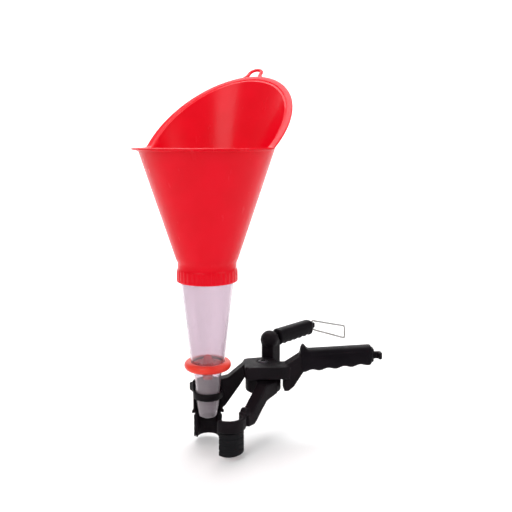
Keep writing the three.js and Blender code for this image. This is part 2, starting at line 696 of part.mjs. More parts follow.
function wire(points, radius, steps) {
  const path = new THREE.CatmullRomCurve3(points, false, 'centripetal');
  const section = new THREE.Shape();
  section.absarc(0, 0, radius, 0, 2 * Math.PI, false);
  const settings = { steps, bevelEnabled: false, extrudePath: path, curveSegments: 3 };
  return solidOf(new THREE.ExtrudeGeometry(section, settings));
}

function torsionSpring() {
  const bottom = springFloorZ + pivot.springWire + fitGap;
  const top = hubTopZ - pivot.springWire;
  const count = Math.round(pivot.springTurns * 10);
  const r = pivot.springRadius;
  const points = Array.from({ length: count + 1 }, (_, i) => {
    const a = 2 * Math.PI * pivot.springTurns * (i / count - 1);
    const z = bottom + (top - bottom) * (i / count) * 0.8;
    return new THREE.Vector3(pivot.x + r * Math.cos(a), pivot.y + r * Math.sin(a), z);
  });
  points.push(new THREE.Vector3(pivot.x + r, pivot.y, pivot.plateBottomZ));
  points.push(new THREE.Vector3(pivot.x + r, pivot.y, pivot.plateBottomZ + 4));
  return wire(points, pivot.springWire, count + 6);
}

// Wire bail on the rear handle's nose: an open loop whose two ends turn into the nose from above and below
function wireBail() {
  const { reach, drop, cornerRadius } = bail;
  const half = bail.spacing / 2;
  const endHalf = half + bail.spread;
  const leg = (u, side) => [u, side * (half + (bail.spread / reach) * u) - (drop / reach) * u];
  const corner = (side) => [
    leg(reach - cornerRadius, side), [reach - 0.6, side * (endHalf - 0.8) - drop],
    [reach, side * (endHalf - cornerRadius) - drop],
  ];
  const route = [[0, 1.2], [0, 3], [0.3, half - 0.8], [1.6, half - 0.2], leg(5, 1), leg(16, 1), leg(30, 1),
    ...corner(1), [reach, -drop], ...corner(-1).reverse(), leg(30, -1), leg(16, -1), leg(5, -1),
    [1.6, -half], [0.3, 0.8 - half], [0, -3], [0, -1.2]];
  const points = route.map(([u, z]) => new THREE.Vector3(
    hinge.x + u * Math.cos(bail.turn), hinge.y + u * Math.sin(bail.turn), hinge.z + z));
  return wire(points, bail.wireRadius, 56);
}

// Materials and assembly
const finish = (color, roughness, metalness = 0, opacity = 1) => new THREE.MeshStandardMaterial({
  color, roughness, metalness, opacity, transparent: opacity < 1,
});
const redPlastic = () => finish(0xe8021e, 0.35);
const orangePlastic = () => finish(0xeb3a30, 0.4);
const clearPlastic = () => finish(0xe2d2dc, 0.12, 0, 0.45);
const blackNylon = () => finish(0x1c1a20, 0.5);
const softRubber = () => finish(0x121214, 0.75);
const zincSteel = () => finish(0xa9a9ad, 0.35, 1);
const blackSteel = () => finish(0x232126, 0.45, 1);

const part = new THREE.Group();

function addPiece(name, solid, material) {
  const mesh = new THREE.Mesh(geometryOf(solid), material);
  mesh.name = name;
  part.add(mesh);
}

addPiece('funnel_head', funnelHead(), redPlastic());
addPiece('head_gasket', headGasket(), softRubber());
addPiece('spout_tube', spoutTube(), clearPlastic());
addPiece('tube_seal', tubeSeal(), softRubber());
addPiece('valve_ring', valveRing(), orangePlastic());
addPiece('valve_stem', valveStem(), redPlastic());
addPiece('valve_seat', valveSeat(), redPlastic());
addPiece('seat_seal', seatSeal(), softRubber());
addPiece('nozzle', nozzleTube(), clearPlastic());
addPiece('holder_lever', holderLever(), blackNylon());
addPiece('holder_plug_pad', halfOf(ribbedPad(), 1), softRubber());
addPiece('front_grip', frontGrip(), softRubber());
addPiece('clamp_lever', clampLever(), blackNylon());
addPiece('clamp_plug_pad', aboutPivot(halfOf(ribbedPad(), -1), pivot.openAngle), softRubber());
addPiece('rear_grip', rearGrip(), softRubber());
addPiece('pivot_bolt', pivotBolt(), blackSteel());
addPiece('pivot_bush', pivotBush(), zincSteel());
addPiece('plate_washer', washer(hubTopZ + fitGap), zincSteel());
addPiece('nut_washer', washer(underHubZ - pivot.washerThickness), zincSteel());
addPiece('pivot_nut', pivotNut(), zincSteel());
addPiece('torsion_spring', torsionSpring(), zincSteel());
addPiece('wire_bail', wireBail(), zincSteel());

export default part;
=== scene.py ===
import json
import math
import bmesh
import bpy
import numpy as np
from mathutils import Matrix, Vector


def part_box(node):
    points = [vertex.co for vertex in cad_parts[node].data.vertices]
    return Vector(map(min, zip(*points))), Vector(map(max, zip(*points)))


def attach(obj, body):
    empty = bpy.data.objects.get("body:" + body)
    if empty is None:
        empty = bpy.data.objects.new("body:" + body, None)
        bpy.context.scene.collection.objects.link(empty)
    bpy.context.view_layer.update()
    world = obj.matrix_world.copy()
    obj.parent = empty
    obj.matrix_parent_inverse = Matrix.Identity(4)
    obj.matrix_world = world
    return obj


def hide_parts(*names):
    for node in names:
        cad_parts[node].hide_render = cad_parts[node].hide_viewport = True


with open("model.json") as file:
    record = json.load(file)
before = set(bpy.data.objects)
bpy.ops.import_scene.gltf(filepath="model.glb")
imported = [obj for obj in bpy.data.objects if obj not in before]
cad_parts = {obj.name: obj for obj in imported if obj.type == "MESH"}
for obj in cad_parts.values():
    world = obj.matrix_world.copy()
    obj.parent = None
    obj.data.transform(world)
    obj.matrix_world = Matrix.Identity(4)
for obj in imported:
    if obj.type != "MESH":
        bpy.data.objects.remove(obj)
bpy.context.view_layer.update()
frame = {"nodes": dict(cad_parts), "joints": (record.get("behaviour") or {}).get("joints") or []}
nodes = frame["nodes"]
mm = 0.001
tau = 2 * math.pi
print("frame loaded:", len(nodes), "CAD nodes")


# mesh helpers: every point array is in millimetres and becomes metres in putMesh

def gridQuads(rows, cols, wrapRows, wrapCols):
    # four neighbouring points of a rows x cols grid make one face
    i = np.arange(rows if wrapRows else rows - 1)[:, None]
    j = np.arange(cols if wrapCols else cols - 1)[None, :]
    i2, j2 = (i + 1) % rows, (j + 1) % cols
    quads = np.stack([i * cols + j, i * cols + j2, i2 * cols + j2, i2 * cols + j], -1)
    return quads.reshape(-1, 4)


def putMesh(name, shells, smoothAngle=35, weld=0.002):
    # shells is a list of (points, faces); each is a closed surface, and they share one object
    mesh = bpy.data.meshes.new(name)
    points, faces, offset = [], [], 0
    for shellPoints, shellFaces in shells:
        points.append(np.asarray(shellPoints, float).reshape(-1, 3))
        faces += [[int(v) + offset for v in face] for face in shellFaces]
        offset += len(points[-1])
    mesh.from_pydata((np.concatenate(points) * mm).tolist(), [], faces)
    bm = bmesh.new()
    bm.from_mesh(mesh)
    bmesh.ops.remove_doubles(bm, verts=bm.verts, dist=weld * mm)
    bmesh.ops.recalc_face_normals(bm, faces=bm.faces)
    bm.to_mesh(mesh)
    bm.free()
    piece = bpy.data.objects.new(name, mesh)
    bpy.context.scene.collection.objects.link(piece)
    shadeByAngle(piece, smoothAngle)
    return piece


def shadeByAngle(piece, angle):
    # smooth shading, with sharp edges where faces meet at more than the angle
    mesh = piece.data
    mesh.polygons.foreach_set("use_smooth", np.ones(len(mesh.polygons), bool))
    mesh.set_sharp_from_angle(angle=math.radians(angle))
    mesh.update()


def rounded(corners, steps=5):
    # corners is a list of (a, b, radius); each corner is eased by a quadratic curve of that size
    points = np.array([c[:2] for c in corners], float)
    radii = [c[2] for c in corners]
    out = []
    for k, radius in enumerate(radii):
        corner = points[k]
        if radius <= 0:
            out.append(corner)
            continue
        before = points[k - 1] - corner
        after = points[(k + 1) % len(points)] - corner
        a = corner + before / np.linalg.norm(before) * min(radius, np.linalg.norm(before) * 0.49)
        b = corner + after / np.linalg.norm(after) * min(radius, np.linalg.norm(after) * 0.49)
        t = np.linspace(0, 1, steps)[:, None]
        out.extend((1 - t) ** 2 * a + 2 * t * (1 - t) * corner + t ** 2 * b)
    return np.array(out)


def turnedShell(profile, segments=128, closed=True, centre=(0, 0)):
    # a profile of (radius, z) carried round the Z axis: x is radius x cos angle, y is radius x sin angle
    profile = np.asarray(profile, float)
    theta = np.linspace(0, tau, segments, endpoint=False)
    r, z = profile[:, :1], profile[:, 1:]
    x, y = centre[0] + r * np.cos(theta), centre[1] + r * np.sin(theta)
    return np.stack([x, y, z + 0 * theta], -1), gridQuads(len(profile), segments, closed, True)


def sweptShell(path, normals, section):
    # a closed section carried along a path: each point is the path's point, plus the section's first
    # value along the normal, plus its second along tangent x normal; a flat face closes each end
    tangents = np.gradient(path, axis=0)
    tangents /= np.linalg.norm(tangents, axis=1)[:, None]
    side = np.cross(tangents, normals)
    grid = (path[:, None, :] + section[None, :, :1] * normals[:, None, :]
            + section[None, :, 1:] * side[:, None, :])
    count = len(section)
    faces = list(gridQuads(len(path), count, False, True))
    faces.append(list(range(count))[::-1])
    faces.append(list(range((len(path) - 1) * count, len(path) * count)))
    return grid, faces


def circleSection(radius, count):
    # points at equal angles: radius x (cos angle, sin angle)
    a = np.linspace(0, tau, count, endpoint=False)
    return radius * np.stack([np.cos(a), np.sin(a)], -1)


def smoothPath(points, perSpan=8):
    # a Catmull-Rom curve through the points, worked out span by span as arrays
    p = np.asarray(points, float)
    p = np.vstack([2 * p[0] - p[1], p, 2 * p[-1] - p[-2]])
    t = np.linspace(0, 1, perSpan, endpoint=False)[None, :, None]
    a, b, c, d = (p[k:len(p) - 3 + k][:, None, :] for k in range(4))
    curve = 0.5 * (2 * b + (c - a) * t + (2 * a - 5 * b + 4 * c - d) * t ** 2
                   + (3 * b - a - 3 * c + d) * t ** 3)
    return np.vstack([curve.reshape(-1, p.shape[1]), p[-2]])


def cutWith(piece, cutter):
    # takes the cutter's volume out of the piece, then deletes the cutter
    cut = piece.modifiers.new("cut", "BOOLEAN")
    cut.operation = "DIFFERENCE"
    cut.object = cutter
    cut.solver = "EXACT"
    applyModifiers(piece)
    bpy.data.objects.remove(cutter)


def applyModifiers(piece):
    # swaps the piece's mesh for what its modifiers make of it
    graph = bpy.context.evaluated_depsgraph_get()
    graph.update()
    mesh = bpy.data.meshes.new_from_object(piece.evaluated_get(graph))
    piece.modifiers.clear()
    old = piece.data
    piece.data = mesh
    bpy.data.meshes.remove(old)


# shader node groups

def newGroup(name, inputs, outputs):
    group = bpy.data.node_groups.new(name, "ShaderNodeTree")
    for label, kind, value in inputs:
        socket = group.interface.new_socket(name=label, in_out="INPUT", socket_type=kind)
        if value is not None:
            socket.default_value = value
    for label, kind in outputs:
        group.interface.new_socket(name=label, in_out="OUTPUT", socket_type=kind)
    return group, group.nodes.new("NodeGroupInput"), group.nodes.new("NodeGroupOutput")


def addNode(tree, kind, settings=None, **inputs):
    # an input is given by its name, or as i0, i1 and so on by its place
    node = tree.nodes.new(kind)
    for key, value in (settings or {}).items():
        setattr(node, key, value)
    for key, value in inputs.items():
        socket = node.inputs[int(key[1:])] if key[0] == "i" and key[1:].isdigit() else node.inputs[key]
        if isinstance(value, bpy.types.NodeSocket):
            tree.links.new(value, socket)
        else:
            socket.default_value = value
    return node


def maths(tree, operation, a, b=0.0, clamp=False):
    settings = {"operation": operation, "use_clamp": clamp}
    return addNode(tree, "ShaderNodeMath", settings, i0=a, i1=b).outputs[0]


def remap(tree, value, low, high, outLow=0.0, outHigh=1.0):
    node = addNode(tree, "ShaderNodeMapRange", {"interpolation_type": "SMOOTHSTEP"})
    tree.links.new(value, node.inputs["Value"])
    for label, number in (("From Min", low), ("From Max", high), ("To Min", outLow), ("To Max", outHigh)):
        node.inputs[label].default_value = number
    return node.outputs["Result"]


def noise(tree, vector, scale, detail=3.0, roughness=0.5):
    node = addNode(tree, "ShaderNodeTexNoise", Detail=detail, Roughness=roughness)
    tree.links.new(vector, node.inputs["Vector"])
    if isinstance(scale, bpy.types.NodeSocket):
        tree.links.new(scale, node.inputs["Scale"])
    else:
        node.inputs["Scale"].default_value = scale
    return node.outputs["Fac"]


def makeEdgeWear():
    # lighter rubbed edges: convex places, broken up by noise
    group, start, end = newGroup("edgeWear", [("Amount", "NodeSocketFloat", 0.5),
                                              ("Scale", "NodeSocketFloat", 300.0),
                                              ("Vector", "NodeSocketVector", None)],
                                 [("Mask", "NodeSocketFloat")])
    convex = remap(group, group.nodes.new("ShaderNodeNewGeometry").outputs["Pointiness"], 0.515, 0.58)
    patches = noise(group, start.outputs["Vector"], start.outputs["Scale"], 4.0, 0.65)
    broken = remap(group, patches, 0.42, 0.62)
    mask = maths(group, "MULTIPLY", maths(group, "MULTIPLY", convex, broken), start.outputs["Amount"], True)
    group.links.new(mask, end.inputs["Mask"])
    return group


def makeMouldGrain():
    # fine spark-eroded grain of a moulding tool, with slow unevenness under it
    group, start, end = newGroup("mouldGrain", [("Fine Scale", "NodeSocketFloat", 2500.0),
                                                ("Fine Amount", "NodeSocketFloat", 0.5),
                                                ("Slow Scale", "NodeSocketFloat", 40.0),
                                                ("Slow Amount", "NodeSocketFloat", 0.5),
                                                ("Vector", "NodeSocketVector", None)],
                                 [("Height", "NodeSocketFloat"), ("Shade", "NodeSocketFloat")])
    fine = noise(group, start.outputs["Vector"], start.outputs["Fine Scale"], 2.0, 0.6)
    slow = noise(group, start.outputs["Vector"], start.outputs["Slow Scale"], 2.0, 0.4)
    height = maths(group, "ADD", maths(group, "MULTIPLY", fine, start.outputs["Fine Amount"]),
                   maths(group, "MULTIPLY", slow, start.outputs["Slow Amount"]))
    group.links.new(height, end.inputs["Height"])
    group.links.new(slow, end.inputs["Shade"])
    return group


def makeDust():
    # pale dust that settles where a surface looks up, in soft patches
    group, start, end = newGroup("dust", [("Amount", "NodeSocketFloat", 0.3),
                                          ("Scale", "NodeSocketFloat", 60.0),
                                          ("Vector", "NodeSocketVector", None)],
                                 [("Mask", "NodeSocketFloat")])
    geometry = group.nodes.new("ShaderNodeNewGeometry")
    normal = addNode(group, "ShaderNodeSeparateXYZ", i0=geometry.outputs["Normal"])
    up = remap(group, normal.outputs["Z"], 0.2, 0.95)
    settled = noise(group, start.outputs["Vector"], start.outputs["Scale"], 5.0, 0.6)
    patches = remap(group, settled, 0.4, 0.7)
    mask = maths(group, "MULTIPLY", maths(group, "MULTIPLY", up, patches), start.outputs["Amount"], True)
    group.links.new(mask, end.inputs["Mask"])
    return group


def makeFlowLines():
    # faint flow lines and streaks along the height of a moulding: noise drawn out along Z
    group, start, end = newGroup("flowLines", [("Across", "NodeSocketFloat", 60.0),
                                               ("Along", "NodeSocketFloat", 5.0),
                                               ("Vector", "NodeSocketVector", None)],
                                 [("Height", "NodeSocketFloat")])
    size = addNode(group, "ShaderNodeCombineXYZ", i0=start.outputs["Across"], i1=start.outputs["Across"],
                   i2=start.outputs["Along"])
    drawn = addNode(group, "ShaderNodeVectorMath", {"operation": "MULTIPLY"}, i0=start.outputs["Vector"],
                    i1=size.outputs[0])
    group.links.new(noise(group, drawn.outputs[0], 1.0, 3.0, 0.55), end.inputs["Height"])
    return group


def makeScuffs():
    # fine scuffs: thin bands of a stretched noise, in two directions
    group, start, end = newGroup("scuffs", [("Scale", "NodeSocketFloat", 120.0),
                                            ("Amount", "NodeSocketFloat", 0.5),
                                            ("Vector", "NodeSocketVector", None)],
                                 [("Mask", "NodeSocketFloat")])
    masks = []
    for stretch, angle in (((1.0, 14.0, 3.0), 0.5), ((12.0, 1.0, 5.0), 1.9)):
        turned = addNode(group, "ShaderNodeVectorRotate", {"rotation_type": "Z_AXIS"}, Angle=angle)
        group.links.new(start.outputs["Vector"], turned.inputs["Vector"])
        drawn = addNode(group, "ShaderNodeVectorMath", {"operation": "MULTIPLY"},
                        i0=turned.outputs[0], i1=stretch)
        band = noise(group, drawn.outputs[0], start.outputs["Scale"], 2.0, 0.7)
        masks.append(remap(group, band, 0.66, 0.72))
    both = maths(group, "MULTIPLY", maths(group, "MAXIMUM", *masks), start.outputs["Amount"], True)
    group.links.new(both, end.inputs["Mask"])
    return group


groups = {
    "edgeWear": makeEdgeWear(), "mouldGrain": makeMouldGrain(), "dust": makeDust(),
    "flowLines": makeFlowLines(), "scuffs": makeScuffs(),
}
print("shader groups made:", len(groups))


def useGroup(tree, name, vector, **values):
    node = tree.nodes.new("ShaderNodeGroup")
    node.node_tree = groups[name]
    tree.links.new(vector, node.inputs["Vector"])
    for label, value in values.items():
        node.inputs[label.replace("_", " ")].default_value = value
    return node


def mixColour(tree, mask, a, b):
    node = addNode(tree, "ShaderNodeMix", {"data_type": "RGBA"})
    tree.links.new(mask, node.inputs["Factor"])
    for socket, value in ((node.inputs["A"], a), (node.inputs["B"], b)):
        if isinstance(value, bpy.types.NodeSocket):
            tree.links.new(value, socket)
        else:
            socket.default_value = (*value, 1.0)
    return node.outputs["Result"]


# how each moulded finish looks; colours are linear
finishes = {
    "redPlastic": {
        "base": (0.75, 0.0004, 0.012), "deep": (0.71, 0.0003, 0.010), "rough": 0.24, "roughSpread": 0.09,
        "grain": 0.08, "flow": 0.6, "bump": 0.00026, "wear": 0.10, "wearColour": (0.9, 0.12, 0.11),
        "dust": 0.004, "subsurface": 0.0, "scuffs": 0.015, "specular": 0.13,
    },
    "ringPlastic": {
        "base": (0.80, 0.045, 0.022), "deep": (0.66, 0.02, 0.012), "rough": 0.32, "roughSpread": 0.10,
        "grain": 0.3, "flow": 0.2, "bump": 0.00010, "wear": 0.15, "wearColour": (0.9, 0.25, 0.18),
        "dust": 0.01, "subsurface": 0.03, "scuffs": 0.12, "specular": 0.3,
    },
    "blackNylon": {
        "base": (0.0072, 0.0046, 0.0066), "deep": (0.0042, 0.0028, 0.004), "rough": 0.48,
        "roughSpread": 0.16, "grain": 0.8, "flow": 0.15, "bump": 0.00022, "wear": 0.4,
        "wearColour": (0.05, 0.045, 0.052), "dust": 0.006, "subsurface": 0.0, "scuffs": 0.2,
        "specular": 0.08,
    },
    "softGrip": {
        "base": (0.0058, 0.0040, 0.0060), "deep": (0.0034, 0.0025, 0.004), "rough": 0.42,
        "roughSpread": 0.14, "grain": 1.0, "flow": 0.1, "bump": 0.00026, "wear": 0.3,
        "wearColour": (0.045, 0.042, 0.048), "dust": 0.004, "subsurface": 0.0, "scuffs": 0.2,
        "specular": 0.055,
    },
    "blackRubber": {
        "base": (0.0062, 0.0056, 0.0072), "deep": (0.0035, 0.0033, 0.0044), "rough": 0.68,
        "roughSpread": 0.14, "grain": 1.0, "flow": 0.1, "bump": 0.0003, "wear": 0.3,
        "wearColour": (0.06, 0.06, 0.06), "dust": 0.03, "subsurface": 0.0, "scuffs": 0.1,
        "specular": 0.14,
    },
}
clearFinishes = {
    "clearSpout": {"tint": (0.71, 0.62, 0.68), "haze": (0.76, 0.67, 0.73), "rough": 0.04,
                   "transmission": 0.88, "ior": 1.34},
    "clearNozzle": {"tint": (0.78, 0.70, 0.75), "haze": (0.85, 0.78, 0.83), "rough": 0.01,
                    "transmission": 0.85, "ior": 1.3},
}
metalFinishes = {
    "zincSteel": {"base": (0.36, 0.355, 0.35), "rough": 0.26, "worn": (0.66, 0.66, 0.67)},
    "blackSteel": {"base": (0.035, 0.032, 0.038), "rough": 0.42, "worn": (0.20, 0.19, 0.2)},
}
dustColour = (0.32, 0.31, 0.30)


def startMaterial(name):
    material = bpy.data.materials.new(name)
    material.use_nodes = True
    tree = material.node_tree
    place = tree.nodes.new("ShaderNodeTexCoord").outputs["Object"]
    return material, tree, tree.nodes["Principled BSDF"], place


def mouldedMaterial(name):
    # opaque moulded plastic or rubber: grain, flow lines, rubbed edges, dust and scuffs
    look = finishes[name]
    material, tree, shader, place = startMaterial(name)
    grain = useGroup(tree, "mouldGrain", place, Fine_Scale=2600.0, Fine_Amount=look["grain"],
                     Slow_Scale=38.0, Slow_Amount=0.15)
    flow = useGroup(tree, "flowLines", place, Across=120.0, Along=5.0)
    wear = useGroup(tree, "edgeWear", place, Amount=look["wear"], Scale=420.0)
    dust = useGroup(tree, "dust", place, Amount=look["dust"], Scale=90.0)
    scuffs = useGroup(tree, "scuffs", place, Amount=look["scuffs"], Scale=90.0)
    colour = mixColour(tree, remap(tree, grain.outputs["Shade"], 0.3, 0.7), look["deep"], look["base"])
    colour = mixColour(tree, wear.outputs["Mask"], colour, look["wearColour"])
    colour = mixColour(tree, dust.outputs["Mask"], colour, dustColour)
    tree.links.new(colour, shader.inputs["Base Color"])
    centred = maths(tree, "SUBTRACT", flow.outputs["Height"], 0.5)
    spread = maths(tree, "MULTIPLY", centred, look["roughSpread"] * 2)
    rough = maths(tree, "ADD", spread, look["rough"])
    rough = maths(tree, "ADD", rough, maths(tree, "MULTIPLY", scuffs.outputs["Mask"], 0.25))
    rough = maths(tree, "ADD", rough, maths(tree, "MULTIPLY", dust.outputs["Mask"], 0.5), True)
    tree.links.new(rough, shader.inputs["Roughness"])
    height = maths(tree, "ADD", grain.outputs["Height"],
                   maths(tree, "MULTIPLY", flow.outputs["Height"], look["flow"]))
    height = maths(tree, "SUBTRACT", height, maths(tree, "MULTIPLY", scuffs.outputs["Mask"], 0.3))
    bump = addNode(tree, "ShaderNodeBump", Height=height, Strength=0.5, Distance=look["bump"])
    tree.links.new(bump.outputs[0], shader.inputs["Normal"])
    shader.inputs["Specular IOR Level"].default_value = look["specular"]
    shader.inputs["Subsurface Weight"].default_value = look["subsurface"]
    shader.inputs["Subsurface Scale"].default_value = 0.003
    return material


def clearMaterial(name):
    # clear moulded plastic: a tinted glass-like shader whose haze and roughness drift a little
    look = clearFinishes[name]
    material, tree, shader, place = startMaterial(name)
    flow = useGroup(tree, "flowLines", place, Across=45.0, Along=3.0)
    grain = useGroup(tree, "mouldGrain", place, Fine_Scale=1800.0, Fine_Amount=0.4,
                     Slow_Scale=60.0, Slow_Amount=0.6)
    scuffs = useGroup(tree, "scuffs", place, Amount=0.06, Scale=110.0)
    colour = mixColour(tree, remap(tree, flow.outputs["Height"], 0.3, 0.7), look["tint"], look["haze"])
    tree.links.new(colour, shader.inputs["Base Color"])
    rise = maths(tree, "MULTIPLY", scuffs.outputs["Mask"], 0.3)
    drift = maths(tree, "MULTIPLY", flow.outputs["Height"], 0.12)
    rough = maths(tree, "ADD", maths(tree, "ADD", rise, drift), look["rough"], True)
    tree.links.new(rough, shader.inputs["Roughness"])
    height = maths(tree, "ADD", grain.outputs["Height"], flow.outputs["Height"])
    bump = addNode(tree, "ShaderNodeBump", Height=height, Strength=0.15, Distance=0.00004)
    tree.links.new(bump.outputs[0], shader.inputs["Normal"])
    shader.inputs["Transmission Weight"].default_value = look["transmission"]
    shader.inputs["IOR"].default_value = look["ior"]
    return material


def metalMaterial(name):
    # plated or blackened steel: fine grain, a warmer tint in patches, rubbed edges and scuffs
    look = metalFinishes[name]
    base = look["base"]
    material, tree, shader, place = startMaterial(name)
    grain = useGroup(tree, "mouldGrain", place, Fine_Scale=3000.0, Fine_Amount=0.5,
                     Slow_Scale=150.0, Slow_Amount=0.6)
    wear = useGroup(tree, "edgeWear", place, Amount=0.5, Scale=600.0)
    scuffs = useGroup(tree, "scuffs", place, Amount=0.6, Scale=260.0)
    tint = mixColour(tree, remap(tree, grain.outputs["Shade"], 0.35, 0.7), base,
                     (base[0] * 0.78, base[1] * 0.76, base[2] * 0.7))
    tree.links.new(mixColour(tree, wear.outputs["Mask"], tint, look["worn"]), shader.inputs["Base Color"])
    shader.inputs["Metallic"].default_value = 1.0
    drift = maths(tree, "MULTIPLY", grain.outputs["Shade"], 0.2)
    rough = maths(tree, "ADD", drift, look["rough"])
    tree.links.new(maths(tree, "ADD", rough, maths(tree, "MULTIPLY", scuffs.outputs["Mask"], 0.2), True),
                   shader.inputs["Roughness"])
    bump = addNode(tree, "ShaderNodeBump", Height=grain.outputs["Height"], Strength=0.3, Distance=0.00008)
    tree.links.new(bump.outputs[0], shader.inputs["Normal"])
    return material


materials = {name: mouldedMaterial(name) for name in finishes}
materials.update({name: clearMaterial(name) for name in clearFinishes})
materials.update({name: metalMaterial(name) for name in metalFinishes})
print("materials made:", len(materials))


def finishPiece(piece, material, body, slot, *stands):
    # gives a piece its material and its moving body, and hides the CAD nodes that it stands for; slot is not
    # used
    piece.data.materials.clear()
    piece.data.materials.append(materials[material])
    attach(piece, body)
    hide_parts(*stands)
    return piece


# funnel head: a cone whose rim climbs into a hood, with a lip, a ribbed collar and a hanging loop
head = {
    "mouthRadius": 72.3, "mouthZ": 286, "coneBottomRadius": 32.9, "coneBottomZ": 168, "wall": 2.2,
    "neckRadius": 31.3, "collarTopZ": 158, "collarBottomZ": 145, "collarRadius": 31.8, "collarBore": 29.9,
    "throatRadius": 26.4, "shoulderZ": 156, "ribs": 36, "ribDepth": 0.5, "ribSquareness": 1.6,
    "hoodAzimuth": 57.5, "hoodRise": 38.8, "hoodEase": 0.0012, "lipWidth": 6.0, "lipThickness": 2.2,
    "segments": 432, "coneRows": 26,
}
loop = {"halfWidth": 7.8, "length": 17, "strand": 4.3, "thickness": 3.0, "start": 3.5, "flare": 0.45}


def makeFunnelHead():
    # rows of rings round the Z axis, one for each height of the wall. The rim's radius at an angle is
    # mouth radius / (1 - cone slope x hood slope x lean), and it climbs by radius x hood slope x lean,
    # where lean is the positive half of cos(angle - hood angle). Rows of the cone share out the way
    # from the cone's bottom to that rim
    h = head
    slope = (h["mouthRadius"] - h["coneBottomRadius"]) / (h["mouthZ"] - h["coneBottomZ"])
    rise = math.tan(math.radians(h["hoodRise"]))
    theta = np.linspace(0, tau, h["segments"], endpoint=False)
    towards = np.cos(theta - math.radians(h["hoodAzimuth"]))
    lean = 0.5 * (towards + np.sqrt(towards ** 2 + h["hoodEase"]))
    rimR = h["mouthRadius"] / (1 - slope * rise * lean)
    rimZ = h["mouthZ"] + lean * rimR * rise
    up = np.array([0, 0, 1.0])
    radial = np.stack([np.cos(theta), np.sin(theta), np.zeros_like(theta)], -1)
    along = np.stack([-np.sin(theta), np.cos(theta), np.zeros_like(theta)], -1)
    outward = radial + up * (rise * lean)[:, None]
    outward /= np.linalg.norm(outward, axis=1)[:, None]
    upward = np.cross(outward, along)
    upward /= np.linalg.norm(upward, axis=1)[:, None]
    rim = radial * rimR[:, None] + up * rimZ[:, None]

    def ring(radius, z):
        radii = np.broadcast_to(radius, theta.shape)
        return radial * radii[:, None] + up * np.broadcast_to(z, theta.shape)[:, None]

    def onCone(share, offset):
        # share 0 is the bottom of the cone and 1 the rim; offset moves inwards from its outer face
        r = h["coneBottomRadius"] + (rimR - h["coneBottomRadius"]) * share - offset
        z = h["coneBottomZ"] + (rimZ - h["coneBottomZ"]) * share
        return ring(r, z)

    def onLip(out, drop):
        return rim + outward * out - upward * drop

    wall, lip, thick = h["wall"], h["lipWidth"], h["lipThickness"]
    bore, throat = h["collarBore"], h["throatRadius"]
    top, low = h["collarTopZ"], h["collarBottomZ"]
    rows = [ring(bore, low + 0.6), ring(bore, h["shoulderZ"] - 0.3), ring(bore - 0.3, h["shoulderZ"]),
            ring(throat + 0.4, h["shoulderZ"]), ring(throat, h["shoulderZ"] + 0.4),
            ring(throat + 0.6, top + 1), ring(h["coneBottomRadius"] - wall - 1.0, h["coneBottomZ"] - 3)]
    rows += [onCone(share, wall) for share in np.linspace(0.01, 0.985, h["coneRows"])]
    rows += [onLip(a, b) for a, b in ((-wall * 0.8, 0.7), (-wall * 0.5, 0.18), (0, 0), (lip * 0.5, -0.05),
                                      (lip - 1.2, 0), (lip - 0.35, 0.25), (lip, 0.9), (lip, thick - 0.9),
                                      (lip - 0.35, thick - 0.25), (lip - 1.2, thick), (1.8, thick),
                                      (0.7, thick + 0.35), (0.1, thick + 1.3))]
    rows += [onCone(share, 0) for share in np.linspace(0.97, 0.03, h["coneRows"])]
    neckTop = h["coneBottomZ"]
    rows += [onCone(0.01, 0), ring(h["coneBottomRadius"] - 0.35, neckTop - 0.3),
             ring(h["neckRadius"] + 0.35, neckTop - 2.2), ring(h["neckRadius"], neckTop - 4.5),
             ring(h["neckRadius"], top + 1.5), ring(h["neckRadius"] + 0.15, top + 0.6)]
    # the collar's ribs: a clipped sine of the angle, faded in and out over the collar's height
    wave = np.clip(np.sin(theta * h["ribs"]) * h["ribSquareness"], -1, 1) * 0.5 + 0.5
    fades = ((0.0, 0.0), (0.05, 0.7), (0.1, 1.0), (0.5, 1.0), (0.86, 1.0), (0.93, 0.9), (0.98, 0.5))
    rows += [ring(h["collarRadius"] + depth * h["ribDepth"] * wave + 0.25 * share, top + (low - top) * share)
             for share, depth in fades]
    rows += [ring(h["collarRadius"] - 0.5, low), ring(bore + 0.5, low)]
    shell = (np.stack(rows), gridQuads(len(rows), len(theta), True, True))
    piece = putMesh("funnelHead", [shell, makeLoop(slope, rise)], 40)
    return finishPiece(piece, "redPlastic", "head", "red_plastic", "funnel_head")


